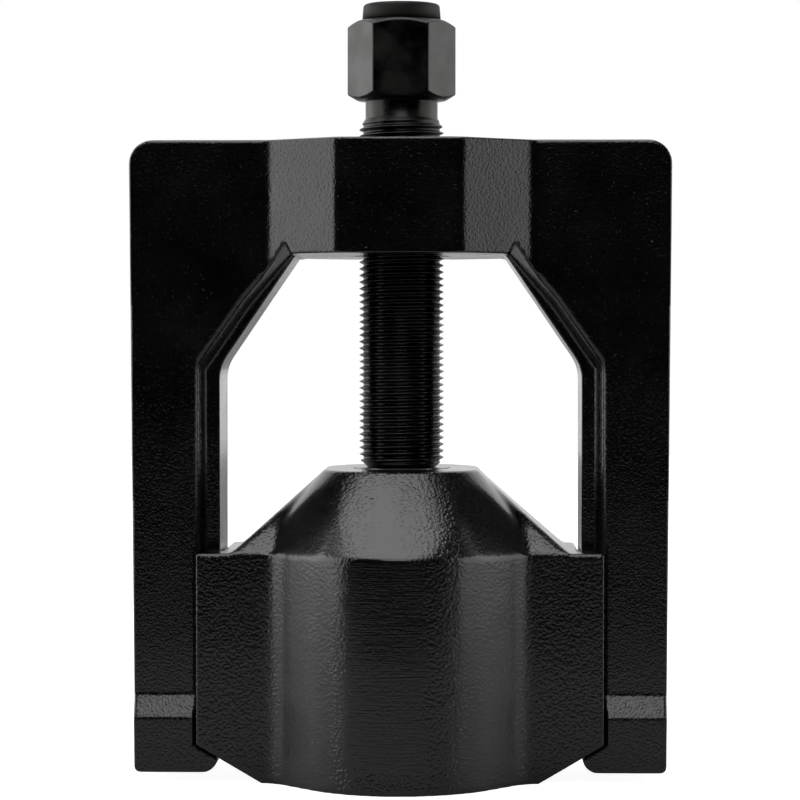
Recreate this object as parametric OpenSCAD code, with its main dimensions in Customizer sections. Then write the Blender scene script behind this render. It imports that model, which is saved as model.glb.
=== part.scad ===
// Puller-type separator: a bridge frame with two legs, a forcing screw through the bridge,
// and a bell-shaped receiver that the screw drives up and down between the legs.
// Millimetres. +Z is up along the screw, +X is to the right and -Y is the front.
// The origin is on the screw's axis, level with the receiver's rim.

/* [Bridge frame] */
// Width over the legs at the top
frame_w = 170.2; // [168:0.2:176]
// Width over the feet
feet_w = 166.8; // [163:0.2:168]
// Height of the frame's top
frame_top = 201.2; // [199:0.1:206]
// Height of the feet's undersides
foot_bottom = 3; // [2:0.5:6]
// Width between the legs
window_w = 114; // [112:0.5:116]
// Width of the window's top edge
window_top_w = 66; // [60:1:68]
// Height at which the window starts to narrow
window_shoulder = 130; // [126:1:131]
// Height of the bridge's underside
bridge_bottom = 165.3; // [164:0.1:168]
// Depth of the legs, front to back
leg_depth = 46; // [44:1:50]
// Depth of the bridge around the screw
boss_depth = 76; // [66:1:80]
// Width of the flat on the bridge around the screw
boss_flat_w = 38; // [32:1:42]
// Width over the two slanted faces beside that flat
boss_w = 83.6; // [78:0.2:90]
// Radius of the frame's upper corners
corner_r = 7.5; // [4:0.5:12]
// Radius of the bends where the window starts to narrow
shoulder_r = 12; // [8:1:20]
// Radius of the bridge's upright edges and hollows
boss_r = 6; // [3:0.5:8]

/* [Rails] */
// Width of the step that runs round the window, front and back
rail_w = 6.8; // [6:0.2:7.6]
// Width of the slanted wall of that step
rail_bevel = 2.4; // [1.6:0.1:3]
// Width of the chamfer along that wall's edge
rail_chamfer = 1; // [0.6:0.1:1.6]
// Thickness of the rails between the two steps
rail_depth = 32; // [28:1:36]

/* [Feet] */
// How far the front of each foot stands proud of its leg
foot_proud = 3; // [2:0.5:4]
// Height of the top of the feet's front flats
foot_flat_top = 20.2; // [16:0.2:22]
// Height at which the feet's slanted faces run out into the legs
foot_slope_top = 27.3; // [24:0.1:30]
// Radius of the feet's inner lower corners
foot_inner_r = 5; // [3:0.5:7]
// Width of the hook slots that take the trunnions
hook_slot = 22; // [18:1:24]
// Height of the hook slots' middle
hook_z = 26; // [25:0.5:30]
// Distance of the slots' round ends behind the screw's axis
hook_y = 1; // [0:0.5:4]

/* [Receiver] */
// Height of the wings' tops
ledge_z = 72; // [68:1:74]
// Height of the flat top that the screw bears on
receiver_top = 97.7; // [95:0.1:99]
// Width of the flat top
receiver_top_w = 48.2; // [44:0.2:54]
// Width over the side slopes where they reach the wings' tops
slope_w = 105.4; // [100:0.2:108]
// Depth of the flat top, front to back
receiver_top_depth = 69; // [64:1:72]
// Depth of the block between the legs, whose front the wings continue
block_depth = 57; // [54:1:60]
// Depth over the round front and back walls
receiver_depth = 113; // [110:1:116]
// Radius of the round front and back walls
bulge_r = 35; // [32:0.5:38]
// Angle of those walls' straight flanks to the legs' fronts
flank_angle = 50; // [46:1:54]
// Radius of the hollow between a flank and a wing
flank_fillet = 13; // [6:0.5:15]
// Radius of the roof's round front where it meets the wall
roof_r = 46.7; // [44:0.1:48]
// Height at which the lower corners of the wings are cut off
wing_cut_z = 11.9; // [8:0.1:16]
// Width of the receiver's underside below the cut corners
underside_w = 87; // [84:1:92]
// Diameter of the receiver's bore
bore_d = 62; // [54:1:64]
// Height of the straight part of that bore
bore_h = 62; // [56:1:66]
// Running gap between the receiver and the legs
slide_gap = 0.4; // [0.3:0.05:0.6]

/* [Forcing screw] */
// Major diameter of the thread
thread_d = 26.99; // [25.4:0.01:28]
// Threads in 25.4 mm
threads_per_inch = 12; // [10:1:16]
// Height of the end of the thread above the receiver's rim
thread_top = 207.5; // [206.5:0.5:209]
// Width across the flats of the hexagon
hex_af = 30.16; // [28:0.01:32]
// Height of the hexagon's underside
hex_bottom = 215.2; // [214:0.1:217]
// Length of the hexagon
hex_h = 25.1; // [22:0.1:30]
// Diameter of the boss on the hexagon
cap_d = 24.5; // [22:0.1:26]
// Height of that boss
cap_h = 5.5; // [4:0.1:8]
// Diameter of the plain neck under the hexagon
neck_d = 23.1; // [20:0.1:24]
// Diameter of the nose that the receiver hangs on
nose_d = 17; // [15:0.5:19]

/* [Hidden] */
$fn = 96;
span = 300;                 // longer than any side of the object, for cutting shapes
cut = 0.5;                  // how far a cutting shape runs past the face that it opens

rail_edge = window_w / 2 + rail_w;
rail_lean = atan2(rail_bevel, (leg_depth - rail_depth) / 2);
// The step's outer edge has two slants, the lower one flatter and the upper one steeper
step_low = [rail_edge, window_shoulder + 4];
step_r = 22;
step_mid = [rail_edge - 14.3, window_shoulder + 21];
step_end = [window_top_w / 2 + 3.2, bridge_bottom + 4.7];
chamfer_lean = 56;
chamfer_ends = [foot_slope_top + 1, step_mid[1] + 8];   // where the chamfer stops
screw_bore_r = thread_d / 2 + 0.08;
bore_chamfer = 1.6;

bulge_y = receiver_depth / 2 - bulge_r;
tangent = [bulge_r * sin(flank_angle), bulge_y + bulge_r * cos(flank_angle)];
flank_x = tangent[0] + (tangent[1] - block_depth / 2) / tan(flank_angle);
roof_h = receiver_top - ledge_z;
roof_y = receiver_depth / 2 - roof_r;
cone_top_r = receiver_top_depth / 2 - roof_y;
flank_lean = 17;            // how far a flank of the roof moves in up to the flat top
ceiling = receiver_top - 13.7;
ceiling_r = 18;
nose_r = nose_d / 2;
nose_bore_r = nose_r + 0.09;

washer_t = 3;
washer_play = 0.1;
thrust_washer_r = 15;
nose_washer_r = 14;
washer_gap = 0.2;           // between the nose's washer and the ceiling that it stops at
ring_t = 1.6;
ring_r = nose_r + 2.4;
groove_r = nose_r - 1.1;
ring_top = ceiling - washer_gap - washer_t;
nose_end = ring_top - ring_t - 3.2;

pitch = 25.4 / threads_per_inch;
thread_r = thread_d / 2;
root_r = thread_r - 0.6134 * pitch;
neck_r = neck_d / 2;
shoulder = receiver_top + washer_play;
end_chamfer = 2.7;
hex_top = hex_bottom + hex_h;
hex_corner_r = hex_af / 2 / cos(30);
hex_chamfer_r = hex_af / 2 - 0.8;

// Draws its children on both sides of the screw, left and right
module both_sides() {
    children();
    mirror([1, 0, 0]) children();
}

// Draws its children at the front and again at the back
module front_and_back() {
    children();
    mirror([0, 1, 0]) children();
}

// Turns a shape drawn as seen from the front into a solid that is depth thick
module stand_up(depth) {
    rotate([90, 0, 0]) linear_extrude(depth, center = true) children();
}

// ---- Bridge frame ----

// The angle to +X of the line from p to q
function heading(p, q) = atan2(q[1] - p[1], q[0] - p[0]);

// The window between the legs, which bends in at its shoulders
module window_outline() {
    side = window_w / 2;
    top = window_top_w / 2;
    slant = heading([side, window_shoulder], [top, bridge_bottom]);
    bend = shoulder_r * tan((slant - 90) / 2);
    both_sides() {
        polygon([
            [-cut, foot_bottom - cut], [side, foot_bottom - cut],
            [side, window_shoulder - bend],
            [side + bend * cos(slant), window_shoulder + bend * sin(slant)],
            [top, bridge_bottom], [-cut, bridge_bottom],
        ]);
        translate([side - shoulder_r, window_shoulder - bend]) circle(shoulder_r);
    }
}

// The frame seen from the front: tapered legs, round corners and the window
module frame_outline() {
    top = frame_w / 2;
    foot = feet_w / 2;
    foot_r = 2;
    difference() {
        union() {
            polygon([
                [foot_r - foot, foot_bottom], [foot - foot_r, foot_bottom],
                [foot, foot_bottom + foot_r], [top, frame_top - corner_r],
                [top - corner_r, frame_top], [corner_r - top, frame_top],
                [-top, frame_top - corner_r], [-foot, foot_bottom + foot_r],
            ]);
            both_sides() {
                translate([top - corner_r, frame_top - corner_r]) circle(corner_r);
                translate([foot - foot_r, foot_bottom + foot_r]) circle(foot_r);
            }
        }
        window_outline();
        both_sides() translate([window_w / 2, foot_bottom]) difference() {
            translate([-cut, -cut]) square(foot_inner_r + cut);
            translate([foot_inner_r, foot_inner_r]) circle(foot_inner_r);
        }
    }
}

// The frame seen from above: flat legs and a thicker middle with slanted faces, which are
// rounded where they start and hollow where they run out
module frame_plan() {
    flat = boss_flat_w / 2;
    foot = boss_w / 2;
    front = boss_depth / 2;
    leg = leg_depth / 2;
    slant = atan2(front - leg, foot - flat);
    run = boss_r * tan(slant / 2);
    square([frame_w, leg_depth], center = true);
    both_sides() front_and_back() difference() {
        union() {
            polygon([
                [-cut, 0], [foot + run, 0], [foot + run, -leg],
                [foot - run * cos(slant), -leg - run * sin(slant)],
                [flat + run * cos(slant), -front + run * sin(slant)],
                [flat - run, -front], [-cut, -front],
            ]);
            translate([flat - run, boss_r - front]) circle(boss_r);
        }
        translate([foot + run, -leg - boss_r]) circle(boss_r);
    }
}

// The front of one foot from the side, standing proud of its leg
module foot_front() {
    front = -leg_depth / 2;
    translate([window_w / 2 - cut, 0, 0]) rotate([90, 0, 90]) linear_extrude(span)
        polygon([
            [0, foot_bottom], [front - foot_proud, foot_bottom],
            [front - foot_proud, foot_flat_top], [front, foot_slope_top],
            [0, foot_slope_top],
        ]);
}

// All that lies on the window's side of a wall of the step. The wall passes the point p on
// the leg's front by the distance out, runs at the angle a to +X and leans by the angle lean.
module inside_wall(p, a, lean, out) {
    translate([p[0] + out * sin(a), -leg_depth / 2, p[1] - out * cos(a)])
        rotate([lean, -a, 0])
            translate([-span, -span, 0]) cube([2 * span, 2 * span, span]);
}

// All that lies above the slanted stop that the wing's cut corner comes down on
module above_stop() {
    slant = heading([underside_w / 2, 0], [rail_edge, wing_cut_z]);
    translate([rail_edge, 0, wing_cut_z - slide_gap]) rotate([0, -slant, 0])
        translate([-span, -span, 0]) cube([2 * span, 2 * span, span]);
}

// The window's side of the step's rounded bend: a cone, and all beyond the line between
// the two places where it meets the walls
module inside_bend(lean, out) {
    turn = heading(step_low, step_mid) - 90;
    run = step_r * tan(turn / 2);
    deep = (leg_depth - rail_depth) / 2 + cut;
    inside_wall(step_low - [0, run], 90 + turn / 2, atan(tan(lean) * cos(turn / 2)),
                out * cos(turn / 2));
    translate([step_low[0] - step_r, deep - leg_depth / 2, step_low[1] - run])
        rotate([90, 0, 0]) cylinder(h = deep + cut, r1 = step_r + out - deep * tan(lean),
                                    r2 = step_r + out + cut * tan(lean));
}

// The step cut into the front of the right leg, for the receiver's wing to slide in, with
// walls that lean by the angle lean and pass the step's outline by the distance out. Its
// children are the space that it keeps to.
module step_cut(lean, out) {
    window_corner = [window_top_w / 2 + 0.4, bridge_bottom - 0.6];
    intersection() {
        children();
        inside_wall(step_low, 90, lean, out);
        inside_bend(lean, out);
        inside_wall(step_low, heading(step_low, step_mid), lean, out);
        inside_wall(step_mid, heading(step_mid, step_end), lean, out);
        inside_wall(step_end, heading(step_end, window_corner), 0, 0);
        translate([0, -span - rail_depth / 2, -span]) cube([span, span, 2 * span]);
    }
}

// The slot across the right leg's foot, open to the back, that hooks under a trunnion
module hook_cut() {
    translate([0, hook_y, hook_z]) rotate([0, 90, 0]) {
        cylinder(h = span, r = hook_slot / 2);
        translate([-hook_slot / 2, 0, 0]) cube([hook_slot, span, span]);
    }
}

module screw_bore() {
    translate([0, 0, bridge_bottom - cut])
        cylinder(h = frame_top - bridge_bottom + 2 * cut, r = screw_bore_r);
    for (end = [[bridge_bottom, 0], [frame_top, 180]])
        translate([0, 0, end[0]]) rotate([end[1], 0, 0]) translate([0, 0, -cut])
            cylinder(h = bore_chamfer + cut, r1 = screw_bore_r + bore_chamfer + cut,
                     r2 = screw_bore_r);
}

module bridge_frame() {
    color("#1c1c1e") difference() {
        intersection() {
            stand_up(span) frame_outline();
            union() {
                linear_extrude(span) frame_plan();
                both_sides() foot_front();
            }
        }
        both_sides() front_and_back() {
            step_cut(rail_lean, 0) above_stop();
            step_cut(chamfer_lean, rail_chamfer)
                translate([0, -span, chamfer_ends[0]])
                    cube([span, span, chamfer_ends[1] - chamfer_ends[0]]);
        }
        both_sides() hook_cut();
        screw_bore();
    }
}

// ---- Receiver ----

// One round wall seen from above: an arc, a straight flank on each side of it, and the
// hollows where the flanks run out
module bulge_plan() {
    front = block_depth / 2;
    run = flank_fillet * tan(flank_angle / 2);
    translate([0, -bulge_y]) circle(bulge_r);
    polygon([
        [-flank_x, 0], [-flank_x, -front], -tangent,
        [tangent[0], -tangent[1]], [flank_x, -front], [flank_x, 0],
    ]);
    both_sides() difference() {
        polygon([
            [0, -bulge_y], [flank_x + run, -bulge_y], [flank_x + run, -front - flank_fillet],
            [flank_x - run * cos(flank_angle), -front - run * sin(flank_angle)],
        ]);
        translate([flank_x + run, -front - flank_fillet]) circle(flank_fillet);
    }
}

// The receiver seen from above: a block between the legs, wings that slide in the steps
// at the legs' fronts, and round front and back walls
module receiver_plan() {
    step_floor = rail_depth / 2 + slide_gap;
    leg_front = leg_depth / 2 + slide_gap;
    inner = rail_edge - rail_bevel - slide_gap;
    square([window_w - 2 * slide_gap, block_depth], center = true);
    both_sides() polygon([
        [0, -step_floor], [inner, -step_floor], [rail_edge - slide_gap, -leg_front],
        [rail_edge, -leg_front], [rail_edge, -block_depth / 2], [0, -block_depth / 2],
    ]);
    front_and_back() bulge_plan();
}

// The walls seen from the front, with the wings' lower corners cut off
module wall_outline() {
    polygon([
        [-underside_w / 2, 0], [underside_w / 2, 0], [rail_edge, wing_cut_z],
        [rail_edge, ledge_z], [-rail_edge, ledge_z], [-rail_edge, wing_cut_z],
    ]);
}

// The roof seen from the front or the side: it narrows from the walls to the flat top
module roof_outline(bottom, top) {
    polygon([
        [-bottom / 2, ledge_z], [bottom / 2, ledge_z],
        [top / 2, receiver_top], [-top / 2, receiver_top],
    ]);
}

// All that lies behind a wall whose foot passes through the point p at the height of the
// wings' tops. The wall faces forward, turned by the angle a, and moves in by inset.
module behind_wall(p, a, inset) {
    translate([p[0], p[1], ledge_z]) rotate([0, 0, a]) rotate([-atan(inset / roof_h), 0, 0])
        translate([-span, 0, -span]) cube([2 * span, span, 2 * span]);
}

// The roof over one round wall: a cone and two flanks, narrowed by a wider cone
module bulge_roof() {
    front = [tangent[0], -tangent[1]];
    intersection() {
        translate([0, -roof_y, ledge_z]) cylinder(h = roof_h, r1 = roof_r, r2 = cone_top_r);
        union() {
            translate([0, -bulge_y, ledge_z])
                cylinder(h = roof_h, r1 = bulge_r, r2 = bulge_r - flank_lean);
            intersection() {
                behind_wall(front, flank_angle, flank_lean);
                mirror([1, 0, 0]) behind_wall(front, flank_angle, flank_lean);
                behind_wall(front, 0, flank_lean * cos(flank_angle));
            }
        }
    }
}

// Flat side slopes, with the round walls' roofs in front and behind
module roof() {
    intersection() {
        stand_up(span) roof_outline(slope_w, receiver_top_w);
        union() {
            rotate([0, 0, 90]) stand_up(span)
                roof_outline(block_depth, block_depth - 2 * (roof_r - cone_top_r));
            front_and_back() bulge_roof();
        }
    }
}

// The cavity that swallows a bearing cup or stud, with a cone up to a flat ceiling
module receiver_cavity() {
    rotate_extrude() polygon([
        [0, -cut], [bore_d / 2 + 1.5 + cut, -cut], [bore_d / 2, 1.5], [bore_d / 2, bore_h],
        [ceiling_r, ceiling], [0, ceiling],
    ]);
}

module receiver_bell() {
    color("#1f1f21") difference() {
        union() {
            intersection() {
                linear_extrude(ledge_z) receiver_plan();
                stand_up(span) wall_outline();
            }
            roof();
        }
        receiver_cavity();
        translate([0, 0, ceiling - cut])
            cylinder(h = receiver_top - ceiling + 2 * cut, r = nose_bore_r);
        translate([0, 0, receiver_top - washer_t])
            cylinder(h = washer_t + cut, r = thrust_washer_r + washer_play);
    }
}

// ---- Forcing screw ----

// One side of the thread, from the chamfered end up to the run-out, as flat-topped ridges
function thread_profile(z0, z1) = [
    for (i = [0 : floor((z1 - z0) / pitch) - 1], p = [
        [root_r, 0.125], [thread_r, 0.4375], [thread_r, 0.5625], [root_r, 0.875],
    ]) [p[0], z0 + (i + p[1]) * pitch]
];

module screw_shank() {
    thread_start = shoulder + end_chamfer;
    turns = floor((thread_top - thread_start) / pitch);
    run_out = thread_start + turns * pitch;
    rotate_extrude() polygon(concat(
        [[0, nose_end], [nose_r - 1, nose_end], [nose_r, nose_end + 1],
         [nose_r, ring_top - ring_t], [groove_r, ring_top - ring_t], [groove_r, ring_top],
         [nose_r, ring_top], [nose_r, shoulder], [thread_r - end_chamfer, shoulder],
         [root_r, thread_start - end_chamfer + root_r - thread_r + end_chamfer]],
        thread_profile(thread_start, thread_top),
        [[root_r, run_out], [thread_r - 0.3, run_out + 0.3], [neck_r, run_out + 3.4],
         [neck_r, hex_bottom + cut], [0, hex_bottom + cut]]
    ));
}

// The hexagon with both ends turned to a cone, one flat to the front
module screw_hexagon() {
    rise = (hex_corner_r - hex_chamfer_r) * tan(30);
    intersection() {
        translate([0, 0, hex_bottom]) cylinder(h = hex_h, r = hex_corner_r, $fn = 6);
        rotate_extrude() polygon([
            [0, hex_bottom], [hex_chamfer_r, hex_bottom],
            [hex_corner_r + 1, hex_bottom + rise + tan(30)],
            [hex_corner_r + 1, hex_top - rise - tan(30)],
            [hex_chamfer_r, hex_top], [0, hex_top],
        ]);
    }
}

// The round boss on top, with a rolled edge
module screw_cap() {
    edge = 1.3;
    r = cap_d / 2;
    translate([0, 0, hex_top - cut]) rotate_extrude() {
        square([r, cap_h + cut - edge]);
        square([r - edge, cap_h + cut]);
        translate([r - edge, cap_h + cut - edge]) circle(edge);
    }
}

module forcing_screw() {
    color("#2f2e2d") union() {
        screw_shank();
        screw_hexagon();
        screw_cap();
    }
}

// ---- The receiver's bearing and retainer ----

// A flat ring with its lower face at z
module washer(z, thickness, outer, inner) {
    translate([0, 0, z]) difference() {
        cylinder(h = thickness, r = outer);
        translate([0, 0, -cut]) cylinder(h = thickness + 2 * cut, r = inner);
    }
}

// The hardened ring, let into the receiver's top, that the screw's shoulder turns on
module thrust_washer() {
    color("silver") washer(receiver_top - washer_t, washer_t, thrust_washer_r, nose_r + 0.3);
}

// The washer on the nose that lifts the receiver when the screw is backed off
module nose_washer() {
    color("silver") washer(ring_top, washer_t, nose_washer_r, nose_r + 0.05);
}

// The snap ring in the nose's groove, with an eye beside its gap on each side for pliers
module retaining_ring() {
    eye_r = 1.9;
    eye_hole_r = 0.9;
    gap_angle = 24;
    color("dimgray") translate([0, 0, ring_top - ring_t]) linear_extrude(ring_t)
        difference() {
            union() {
                circle(ring_r);
                for (a = [-gap_angle, gap_angle])
                    rotate(90 + a) translate([ring_r - 0.4, 0]) circle(eye_r);
            }
            circle(groove_r + 0.05);
            polygon([[0, 0], for (a = [-1, 1]) 3 * ring_r * [sin(a * gap_angle / 2), 1]]);
            for (a = [-gap_angle, gap_angle])
                rotate(90 + a) translate([ring_r - 0.4, 0]) circle(eye_hole_r);
        }
}

bridge_frame();
receiver_bell();
forcing_screw();
thrust_washer();
nose_washer();
retaining_ring();
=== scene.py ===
import math

import bpy
import numpy as np
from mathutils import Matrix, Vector


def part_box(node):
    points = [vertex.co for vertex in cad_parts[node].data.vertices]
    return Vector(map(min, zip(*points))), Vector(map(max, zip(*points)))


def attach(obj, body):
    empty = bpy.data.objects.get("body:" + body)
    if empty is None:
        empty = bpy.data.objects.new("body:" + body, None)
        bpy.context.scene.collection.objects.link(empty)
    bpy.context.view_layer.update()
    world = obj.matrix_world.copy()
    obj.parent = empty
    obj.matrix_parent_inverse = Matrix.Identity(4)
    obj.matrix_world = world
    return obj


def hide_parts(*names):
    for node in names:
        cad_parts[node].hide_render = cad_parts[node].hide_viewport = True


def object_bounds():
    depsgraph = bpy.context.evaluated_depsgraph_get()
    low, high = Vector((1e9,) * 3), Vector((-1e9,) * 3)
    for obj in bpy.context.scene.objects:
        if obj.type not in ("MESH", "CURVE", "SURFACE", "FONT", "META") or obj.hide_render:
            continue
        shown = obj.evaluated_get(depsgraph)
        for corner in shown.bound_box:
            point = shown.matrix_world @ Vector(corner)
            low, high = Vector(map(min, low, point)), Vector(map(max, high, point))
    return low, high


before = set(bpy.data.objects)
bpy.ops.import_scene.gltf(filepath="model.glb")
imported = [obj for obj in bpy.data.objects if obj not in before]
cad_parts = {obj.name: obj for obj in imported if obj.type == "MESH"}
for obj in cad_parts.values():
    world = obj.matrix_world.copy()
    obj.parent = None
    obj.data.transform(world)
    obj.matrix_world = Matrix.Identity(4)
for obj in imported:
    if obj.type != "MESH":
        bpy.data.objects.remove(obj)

# A puller-type ball joint separator: two glossy black castings and a blackened screw.
# Everything is in metres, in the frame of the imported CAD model.

CAD_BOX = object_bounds()
MM = 0.001

SCREW_LOW, SCREW_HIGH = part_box("forcing_screw")
BELL_TOP_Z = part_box("receiver_bell")[1][2]
MAX_TRIANGLES = 190000   # of one casting

# The forcing screw: 1-1/16 in, 12 threads to the inch, turned from 1-3/16 in hexagon bar
PITCH = 25.4 * MM / 12
THREAD_R = 26.99 * MM / 2
THREAD_DEPTH = 0.6134 * PITCH
ROOT_R = THREAD_R - THREAD_DEPTH
SHOULDER_Z = BELL_TOP_Z + 0.1 * MM
END_CHAMFER = 2.7 * MM
HEX_AF = SCREW_HIGH[1] - SCREW_LOW[1]    # two of its flats face the front and the back
CAP_HEIGHT = 5.49 * MM
HEX_HEIGHT = 25.1 * MM
CAP_TOP_Z = SCREW_HIGH[2] - 0.01 * MM    # just inside the CAD box
HEX_TOP_Z = CAP_TOP_Z - CAP_HEIGHT
HEX_BOTTOM_Z = HEX_TOP_Z - HEX_HEIGHT
NECK_HEIGHT = 5.9 * MM
NECK_R = 23.1 * MM / 2
CAP_R = 24.5 * MM / 2
NOSE_R = 8.5 * MM


# ---- Shader helpers ----

def add(tree, kind, inputs=None, **settings):
    """Adds a node. Each input is a constant or the output socket of another node."""
    made = tree.nodes.new("ShaderNode" + kind)
    for key, value in settings.items():
        setattr(made, key, value)
    for key, value in (inputs or {}).items():
        if isinstance(value, bpy.types.NodeSocket):
            tree.links.new(value, made.inputs[key])
        else:
            made.inputs[key].default_value = value
    return made


def new_material(name, **constants):
    """A material and its Principled shader, with the constants on the shader's sockets."""
    material = bpy.data.materials.new(name)
    material.use_nodes = True
    shader = material.node_tree.nodes["Principled BSDF"]
    for key, value in constants.items():
        shader.inputs[key.replace("_", " ")].default_value = value
    return material, material.node_tree, shader


def place(tree, stretch=(1, 1, 1)):
    """The place on the object, in metres, stretched along its axes."""
    coords = add(tree, "TexCoord")
    mapped = add(tree, "Mapping", {"Vector": coords.outputs["Object"], "Scale": stretch})
    return mapped.outputs[0]


def grain(tree, size, detail=3.0, roughness=0.55, stretch=(1, 1, 1), distortion=0.0):
    """Noise whose largest cells are about size metres across."""
    return add(tree, "TexNoise", {
        "Vector": place(tree, stretch), "Scale": 1 / size, "Detail": detail,
        "Roughness": roughness, "Distortion": distortion,
    }).outputs[0]


def cells(tree, scale, feature="F1"):
    """The distance to the nearest of scattered points, scale of them to the metre."""
    return add(tree, "TexVoronoi", {
        "Vector": place(tree), "Scale": scale, "Randomness": 1.0,
    }, feature=feature).outputs["Distance"]


def remap(tree, value, low, high, to_low, to_high, smooth=False):
    """Moves a value from one range to another, clamped at both ends."""
    kind = "SMOOTHSTEP" if smooth else "LINEAR"
    return add(tree, "MapRange", {
        "Value": value, "From Min": low, "From Max": high, "To Min": to_low, "To Max": to_high,
    }, interpolation_type=kind).outputs[0]


def math_node(tree, operation, a, b=0.0):
    return add(tree, "Math", {0: a, 1: b}, operation=operation).outputs[0]


def mix_colour(tree, factor, a, b):
    return add(tree, "MixRGB", {"Fac": factor, "Color1": a, "Color2": b}).outputs[0]


def bump(tree, height, distance, strength, under=None):
    """A bump of the given height in metres, laid over another one."""
    inputs = {"Height": height, "Distance": distance, "Strength": strength}
    if under is not None:
        inputs["Normal"] = under
    return add(tree, "Bump", inputs).outputs[0]


def grey(level):
    return (level, level, level, 1.0)


# ---- Materials ----

def ground_mask(tree, half_width, low, high):
    """1 on the ground band down the front and back, a little left of the middle and narrower
    on the roof, with ragged edges. half_width, low and high bound it."""
    axes = add(tree, "SeparateXYZ", {"Vector": place(tree)})
    left = 4 * MM
    on_roof = 0.4 * half_width
    across = math_node(tree, "ABSOLUTE", math_node(tree, "ADD", axes.outputs["X"], left))
    half_width = remap(tree, axes.outputs["Z"], 70 * MM, 76 * MM, half_width, on_roof)
    ragged = math_node(tree, "MULTIPLY", grain(tree, 7 * MM, 4.0, 0.6, (0.6, 1, 1)), 12 * MM)
    across = math_node(tree, "ADD", across, ragged)
    across = math_node(tree, "SUBTRACT", across, half_width)
    band = remap(tree, across, 0.0, 5 * MM, 1.0, 0.0, True)
    above = remap(tree, axes.outputs["Z"], low, low + 6 * MM, 0.0, 1.0, True)
    below = remap(tree, axes.outputs["Z"], high - 6 * MM, high, 1.0, 0.0, True)
    return math_node(tree, "MULTIPLY", band, math_node(tree, "MULTIPLY", above, below))


def frame_skin(tree):
    """How rough the frame's skin is: less and less towards the bridge."""
    axes = add(tree, "SeparateXYZ", {"Vector": place(tree)})
    return remap(tree, axes.outputs["Z"], 90 * MM, 165 * MM, 1.15, 0.85, True)


def bell_skin(tree):
    """How rough the bell's skin is: least on the flanks of the round walls."""
    axes = add(tree, "SeparateXYZ", {"Vector": place(tree)})
    across = math_node(tree, "ABSOLUTE", axes.outputs["X"])
    inner = remap(tree, across, 16 * MM, 22 * MM, 0.0, 1.0, True)
    outer = remap(tree, across, 36 * MM, 43 * MM, 1.0, 0.0, True)
    return remap(tree, math_node(tree, "MULTIPLY", inner, outer), 0.0, 1.0, 1.25, 0.35)


def enamel(name, skin_size, skin_height, share, ground=None):
    """Glossy black enamel over a cast skin that share(tree) makes more or less rough.
    ground is a ground_mask's arguments."""
    material, tree, shader = new_material(
        name, Coat_Weight=0.25, Coat_Roughness=0.12, Coat_IOR=1.45, IOR=1.5,
    )
    patches = grain(tree, 22 * MM, 3.0)
    skin = grain(tree, skin_size, 2.0, 0.5, (1.0, 1.0, 1.15), 0.2)
    fine = grain(tree, 0.45 * MM, 2.0, 0.6)
    pits = remap(tree, cells(tree, 1 / (5 * MM), "SMOOTH_F1"), 0.02, 0.1, 0.0, 1.0, True)
    specks = remap(tree, cells(tree, 1 / (1.6 * MM)), 0.03, 0.13, 1.0, 0.0, True)

    skin = remap(tree, skin, 0.25, 0.75, 0.0, 1.0)
    pebbles = remap(tree, cells(tree, 0.9 / skin_size), 0.1, 0.8, 0.0, 0.8, True)
    skin = math_node(tree, "SUBTRACT", skin, pebbles)
    skin = math_node(tree, "MULTIPLY", skin, share(tree))
    if ground is not None:
        mask = ground_mask(tree, *ground)
        lines = grain(tree, 0.55 * MM, 2.0, 0.6, (0.04, 0.04, 1.0))
        cast_share = remap(tree, mask, 0.0, 1.0, 1.0, 0.22)
        skin = math_node(tree, "MULTIPLY", skin, cast_share)
        lines = math_node(tree, "MULTIPLY", lines, mask)
    normal = bump(tree, skin, skin_height, 0.9)
    normal = bump(tree, pits, 0.08 * MM, 0.6, normal)
    normal = bump(tree, specks, 0.06 * MM, 0.8, normal)
    normal = bump(tree, fine, 0.02 * MM, 0.7, normal)
    if ground is not None:
        normal = bump(tree, lines, 0.09 * MM, 0.8, normal)
    tree.links.new(normal, shader.inputs["Normal"])
    tree.links.new(remap(tree, patches, 0.3, 0.7, 0.17, 0.27), shader.inputs["Roughness"])

    worn = add(tree, "NewGeometry").outputs["Pointiness"]
    worn = remap(tree, worn, 0.53, 0.62, 0.0, 0.5, True)
    worn = math_node(tree, "MULTIPLY", worn, remap(tree, fine, 0.45, 0.65, 0.0, 1.0))
    colour = mix_colour(tree, patches, grey(0.0004), grey(0.0012))
    colour = mix_colour(tree, worn, colour, grey(0.02))
    tree.links.new(colour, shader.inputs["Base Color"])
    return material


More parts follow.
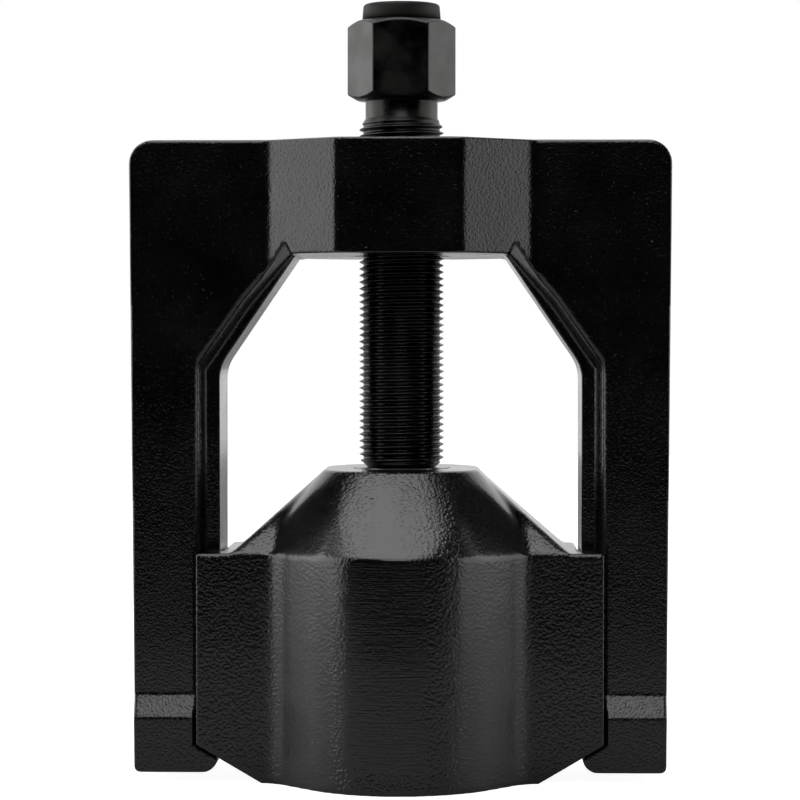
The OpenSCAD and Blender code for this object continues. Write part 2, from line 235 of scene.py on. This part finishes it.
def black_oxide():
    """Machined steel, blackened and oiled, with turning marks and handling smudges. The
    boss on the hexagon is left rougher from the lathe."""
    material, tree, shader = new_material("black_oxide_steel", Metallic=1.0)
    smudges = grain(tree, 12 * MM, 4.0, 0.6)
    marks = grain(tree, 0.5 * MM, 2.0, 0.5, (0.05, 0.05, 1.0))
    colour = mix_colour(tree, remap(tree, smudges, 0.35, 0.7, 0.0, 1.0),
                        grey(0.016), (0.036, 0.036, 0.034, 1.0))
    worn = add(tree, "NewGeometry").outputs["Pointiness"]
    worn = remap(tree, worn, 0.52, 0.6, 0.0, 0.45, True)
    colour = mix_colour(tree, worn, colour, (0.14, 0.137, 0.13, 1.0))
    tree.links.new(colour, shader.inputs["Base Color"])
    height = add(tree, "SeparateXYZ", {"Vector": place(tree)}).outputs["Z"]
    turned = remap(tree, height, HEX_TOP_Z + 0.2 * MM, HEX_TOP_Z + 0.8 * MM, 0.0, 0.6)
    roughness = remap(tree, smudges, 0.38, 0.62, 0.2, 0.4)
    roughness = math_node(tree, "MAXIMUM", roughness, turned)
    tree.links.new(roughness, shader.inputs["Roughness"])
    normal = bump(tree, marks, 0.02 * MM, 0.6)
    normal = bump(tree, grain(tree, 2.2 * MM, 3.0), 0.04 * MM, 0.6, normal)
    tree.links.new(normal, shader.inputs["Normal"])
    return material


def ground_steel(name, level, roughness):
    """Ground steel with fine circular marks and a little staining."""
    material, tree, shader = new_material(name, Metallic=1.0)
    stains = grain(tree, 5 * MM, 4.0)
    marks = grain(tree, 0.3 * MM, 2.0)
    colour = mix_colour(tree, stains, grey(0.6 * level), grey(level))
    tree.links.new(colour, shader.inputs["Base Color"])
    worn = remap(tree, stains, 0.3, 0.7, roughness, roughness + 0.15)
    tree.links.new(worn, shader.inputs["Roughness"])
    tree.links.new(bump(tree, marks, 0.01 * MM, 0.5), shader.inputs["Normal"])
    return material


# ---- Mesh helpers ----

def link(name, mesh):
    piece = bpy.data.objects.new(name, mesh)
    bpy.context.scene.collection.objects.link(piece)
    return piece


def finish_piece(piece, body, node, material):
    """Gives the piece its finish and body, and lets it stand for the CAD node."""
    piece.data.materials.clear()
    piece.data.materials.append(material)
    piece.data.polygons.foreach_set("use_smooth", [True] * len(piece.data.polygons))
    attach(piece, body)
    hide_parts(node)


def clouds(name, size):
    texture = bpy.data.textures.new(name, "CLOUDS")
    texture.noise_scale = size
    texture.noise_depth = 2
    return texture


def apply_modifiers(piece):
    """Replaces the piece's mesh by what its modifiers make of it."""
    evaluated = piece.evaluated_get(bpy.context.evaluated_depsgraph_get())
    mesh = bpy.data.meshes.new_from_object(evaluated)
    piece.modifiers.clear()
    piece.data = mesh


def open_bore(mesh, radius, clear):
    """Moves the points that smoothing drew into the bore on the screw's axis out again, to
    clear beyond its wall."""
    points = np.empty(3 * len(mesh.vertices))
    mesh.vertices.foreach_get("co", points)
    points = points.reshape(-1, 3)
    reach = np.hypot(points[:, 0], points[:, 1])
    inside = (reach > 0.5 * radius) & (reach < radius + clear)
    points[inside, :2] *= ((radius + clear) / reach[inside])[:, None]
    mesh.vertices.foreach_set("co", points.ravel())
    mesh.update()


def casting(name, node, voxel, rounding, waves, melt=None):
    """A CAD casting with its edges rounded and an uneven skin. Each wave is a (size, height);
    the skin only goes inward, by that height, so the casting stays in its CAD box and off
    its neighbours. voxel is how finely it is rebuilt, rounding how often it is smoothed.
    melt is (low, high, steps): the heights between which the shapes run together more."""
    piece = link(name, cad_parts[node].data.copy())
    points = np.array([v.co[:2] for v in piece.data.vertices])
    bore = np.hypot(points[:, 0], points[:, 1]).min()
    remesh = piece.modifiers.new("voxels", "REMESH")
    remesh.mode = "VOXEL"
    remesh.voxel_size = voxel
    soften = piece.modifiers.new("edges", "SMOOTH")
    soften.factor = 0.5
    soften.iterations = rounding
    if melt is not None:
        apply_modifiers(piece)
        low, high, steps = melt
        group = piece.vertex_groups.new(name="melt")
        for v in piece.data.vertices:
            share = min(v.co.z - low, high - v.co.z) / (2.5 * MM)
            if share > 0 and math.hypot(v.co.x, v.co.y) > 3 * bore:
                group.add([v.index], min(share, 1.0), "REPLACE")
        melted = piece.modifiers.new("melt", "SMOOTH")
        melted.factor = 0.5
        melted.iterations = steps
        melted.vertex_group = group.name
    for size, height in waves:
        wave = piece.modifiers.new("skin", "DISPLACE")
        wave.texture = clouds(name + "_skin", size)
        wave.texture_coords = "LOCAL"
        wave.strength = height
        wave.mid_level = 1.0
    apply_modifiers(piece)
    triangles = sum(len(p.vertices) - 2 for p in piece.data.polygons)
    if triangles > MAX_TRIANGLES:
        thin = piece.modifiers.new("thin", "DECIMATE")
        thin.ratio = MAX_TRIANGLES / triangles
        apply_modifiers(piece)
    open_bore(piece.data, bore, 0.03 * MM)
    return piece


# ---- Forcing screw ----

def blend_min(a, b, width):
    """The smaller of a and b, rounded off where they cross."""
    overlap = np.clip(width - np.abs(a - b), 0, None) / width
    return np.minimum(a, b) - overlap ** 2 * width / 4


def hexagon_radius(angle):
    """How far the rounded hexagon reaches from the axis; its corners are on the X axis."""
    sector = np.mod(angle, math.pi / 3) - math.pi / 6
    nearest = HEX_AF / 2 / np.cos(sector)
    next_one = HEX_AF / 2 / np.cos(np.abs(sector) - math.pi / 3)
    return blend_min(nearest, next_one, 0.5 * MM)


def thread_rows():
    """(height, radius) of the thread's rows at angle 0, one ridge for each turn."""
    shape = (
        (0.06, 0.0), (0.2, 0.12), (0.32, 0.55), (0.44, 0.97), (0.5, 1.0),
        (0.56, 0.97), (0.68, 0.55), (0.8, 0.12), (0.94, 0.0),
    )
    low = SHOULDER_Z - PITCH
    turns = math.ceil((HEX_BOTTOM_Z - low) / PITCH)
    return [
        (low + (turn + along) * PITCH, ROOT_R + depth * (THREAD_R - ROOT_R))
        for turn in range(turns) for along, depth in shape
    ]


def screw_rings(angles):
    """The screw's surface as rings of (radius, height), from the nose to the cap."""
    circle = np.ones_like(angles)
    hexagon = hexagon_radius(angles)
    groove_r = NOSE_R - 1.1 * MM
    groove_top = BELL_TOP_Z - 16.9 * MM
    groove_low = groove_top - 1.6 * MM
    low = SCREW_LOW[2]
    chamfer_slope, flare_slope, soft = 1.1, 0.62, 0.5 * MM
    run_out = HEX_BOTTOM_Z - NECK_HEIGHT
    rings = [(radius * circle, height * circle) for radius, height in (
        (0, low), (NOSE_R - 1.2 * MM, low), (NOSE_R - 0.9 * MM, low + 0.1 * MM),
        (NOSE_R - 0.1 * MM, low + 0.9 * MM), (NOSE_R, low + 1.2 * MM),
        (NOSE_R, groove_low), (groove_r, groove_low), (groove_r, groove_top),
        (NOSE_R, groove_top), (NOSE_R, SHOULDER_Z),
    )]
    for height, radius in thread_rows():
        z = np.clip(height + angles / (2 * math.pi) * PITCH, SHOULDER_Z, run_out)
        chamfer = THREAD_R - END_CHAMFER + (z - SHOULDER_Z) * chamfer_slope
        flare = NECK_R + (run_out - z) * flare_slope
        ridge = blend_min(radius * circle, chamfer, soft)
        rings.append((blend_min(ridge, flare, soft), z))
    rings.append((NECK_R * circle, run_out * circle))

    fillet = 0.7 * MM
    for turn in np.linspace(0, math.pi / 2, 5):
        rings.append(((NECK_R + fillet * (1 - math.cos(turn))) * circle,
                      (HEX_BOTTOM_Z - fillet * (1 - math.sin(turn))) * circle))
    # The chamfers at both ends of the hexagon: a cone that just cuts into its flats
    inner = HEX_AF / 2 - 0.8 * MM
    outer = HEX_AF / 2 / math.cos(math.pi / 6) + 0.4 * MM
    steepness = math.tan(math.pi / 6)
    cone = [(inner + (outer - inner) * t, (outer - inner) * t * steepness)
            for t in np.linspace(0, 1, 22)]
    edge = [(r, HEX_BOTTOM_Z + rise) for r, rise in cone]
    edge += [(outer, z) for z in np.linspace(edge[-1][1], HEX_TOP_Z - cone[-1][1], 8)[1:-1]]
    edge += [(r, HEX_TOP_Z - rise) for r, rise in reversed(cone)]
    for radius, height in edge:
        rings.append((blend_min(radius * circle, hexagon, 0.7 * MM), height * circle))
    for turn in np.linspace(math.pi / 2, 0, 5):
        rings.append(((CAP_R + fillet / 2 * (1 - math.sin(turn))) * circle,
                      (HEX_TOP_Z + fillet / 2 * (1 - math.cos(turn))) * circle))
    roll = 1.1 * MM
    for turn in np.linspace(0, math.pi / 2, 9):
        rings.append(((CAP_R - roll * (1 - math.cos(turn))) * circle,
                      (CAP_TOP_Z - roll * (1 - math.sin(turn))) * circle))
    rings.append((0 * circle, CAP_TOP_Z * circle))
    return rings


def build_screw():
    """One closed skin over all the rings. Going round once climbs the thread's rows by a
    pitch, so the last column joins the rows of the first one a turn higher."""
    per_side = 28
    side = [math.pi / 6 * (1 - math.cos(math.pi * i / per_side)) for i in range(per_side)]
    angles = np.array([k * math.pi / 3 + a for k in range(6) for a in side])
    rings = screw_rings(np.append(angles, 2 * math.pi))
    radius = np.array([r for r, z in rings])
    height = np.array([z for r, z in rings])
    turn = np.append(angles, 2 * math.pi)
    points = np.stack([radius * np.cos(turn), radius * np.sin(turn), height], axis=2)
    rows, columns = radius.shape
    index = np.arange(rows * columns).reshape(rows, columns)
    quads = np.stack([index[:-1, :-1], index[:-1, 1:], index[1:, 1:], index[1:, :-1]], axis=2)
    mesh = bpy.data.meshes.new("forcing_screw_turned")
    mesh.from_pydata(points.reshape(-1, 3).tolist(), [], quads.reshape(-1, 4).tolist())
    piece = link("forcing_screw_turned", mesh)
    weld = piece.modifiers.new("weld", "WELD")
    weld.merge_threshold = 0.002 * MM
    apply_modifiers(piece)
    return piece


# ---- Washers and ring ----

def dress(node, material, bevel):
    """A CAD node that keeps its shape, with its edges broken."""
    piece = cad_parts[node]
    piece.data.materials.clear()
    piece.data.materials.append(material)
    edge = piece.modifiers.new("edges", "BEVEL")
    edge.width = bevel
    edge.segments = 2
    edge.limit_method = "ANGLE"


# ---- Studio ----

def area_light(name, radiance, width, height, place_at, facing):
    """A soft box with the given radiance that faces one way and isn't seen itself."""
    data = bpy.data.lights.new(name, "AREA")
    data.shape = "RECTANGLE"
    data.size = width
    data.size_y = height
    data.energy = radiance * math.pi * width * height
    lamp = bpy.data.objects.new(name, data)
    lamp.location = place_at
    lamp.rotation_euler = Vector(facing).to_track_quat("-Z", "Y").to_euler()
    lamp.visible_camera = False
    bpy.context.scene.collection.objects.link(lamp)


def studio_world():
    """White wherever the camera looks. As light and in reflections it is white behind the
    object and dark behind the camera."""
    world = bpy.data.worlds.new("studio")
    bpy.context.scene.world = world
    world.use_nodes = True
    tree = world.node_tree
    direction = add(tree, "TexCoord").outputs["Generated"]
    axes = add(tree, "SeparateXYZ", {"Vector": direction})
    behind = remap(tree, axes.outputs["Y"], -0.1, 0.6, 0.004, 0.95, True)
    seen = add(tree, "LightPath").outputs["Is Camera Ray"]
    strength = math_node(tree, "MAXIMUM", behind, seen)
    tree.links.new(strength, tree.nodes["Background"].inputs["Strength"])
    tree.nodes["Background"].inputs["Color"].default_value = (1, 1, 1, 1)


def floor():
    """A pale round table top that reaches further back than forward."""
    radius, ahead, segments = 1.6, 0.42, 96
    centre_y = radius - ahead
    low = CAD_BOX[0][2]
    ring = [(radius * math.cos(a), centre_y + radius * math.sin(a), low)
            for a in np.linspace(0, 2 * math.pi, segments, endpoint=False)]
    mesh = bpy.data.meshes.new("floor")
    mesh.from_pydata(ring, [], [list(range(segments))])
    piece = link("floor", mesh)
    material, tree, shader = new_material("pale_floor", Roughness=0.7)
    shader.inputs["Emission Color"].default_value = (1, 1, 1, 1)
    seen = add(tree, "LightPath").outputs["Is Camera Ray"]
    tree.links.new(math_node(tree, "MULTIPLY", seen, 0.95), shader.inputs["Emission Strength"])
    tone = mix_colour(tree, grain(tree, 0.3, 2.0), grey(0.32), grey(0.36))
    tree.links.new(tone, shader.inputs["Base Color"])
    mesh.materials.append(material)


def camera():
    """A long lens a little to the right, its eye a little above the tool's half height."""
    distance, azimuth = 0.962, math.radians(1.2)
    data = bpy.data.cameras.new("camera")
    data.sensor_width = 36
    data.lens = 135
    eye = bpy.data.objects.new("camera", data)
    eye.location = (distance * math.sin(azimuth), -distance * math.cos(azimuth), 0.1369)
    aim = Vector((-0.0005, 0, 0.1193))
    eye.rotation_euler = (aim - eye.location).to_track_quat("-Z", "Y").to_euler()
    bpy.context.scene.collection.objects.link(eye)
    bpy.context.scene.camera = eye


def lights():
    area_light("left_box", 2.4, 1.75, 1.3, (-1.25, 0.17, 0.4), (1, 0, 0))
    area_light("right_box", 1.65, 1.6, 1.2, (1.25, 0.17, 0.4), (-1, 0, 0))
    area_light("top_box", 3.0, 1.6, 1.5, (-0.3, -0.25, 1.3), (0, 0, -1))
    area_light("front_box", 2.9, 0.9, 0.6, (0, -1.48, 1.2), (0, 0.777, -0.629))


# ---- The object ----

camera()
lights()
studio_world()
floor()
bpy.context.scene.view_settings.view_transform = "Standard"

frame_enamel = enamel("frame_enamel", 0.8 * MM, 0.055 * MM, frame_skin)
bell_enamel = enamel("receiver_enamel", 1.0 * MM, 0.085 * MM, bell_skin,
                     ground=(16 * MM, 4 * MM, 97 * MM))

bridge = casting("bridge_casting", "bridge_frame", voxel=0.55 * MM, rounding=2,
                 waves=((20 * MM, 0.1 * MM),))
finish_piece(bridge, "frame", "bridge_frame", frame_enamel)

bell = casting("receiver_casting", "receiver_bell", voxel=0.7 * MM, rounding=4,
               waves=((20 * MM, 0.12 * MM), (4 * MM, 0.03 * MM)),
               melt=(72 * MM, 97 * MM, 60))
finish_piece(bell, "receiver", "receiver_bell", bell_enamel)

screw = build_screw()
finish_piece(screw, "screw", "forcing_screw", black_oxide())

hardened = ground_steel("hardened_steel", 0.45, 0.25)
dress("thrust_washer", hardened, 0.25 * MM)
dress("nose_washer", hardened, 0.25 * MM)
dress("retaining_ring", ground_steel("spring_steel", 0.14, 0.35), 0.15 * MM)
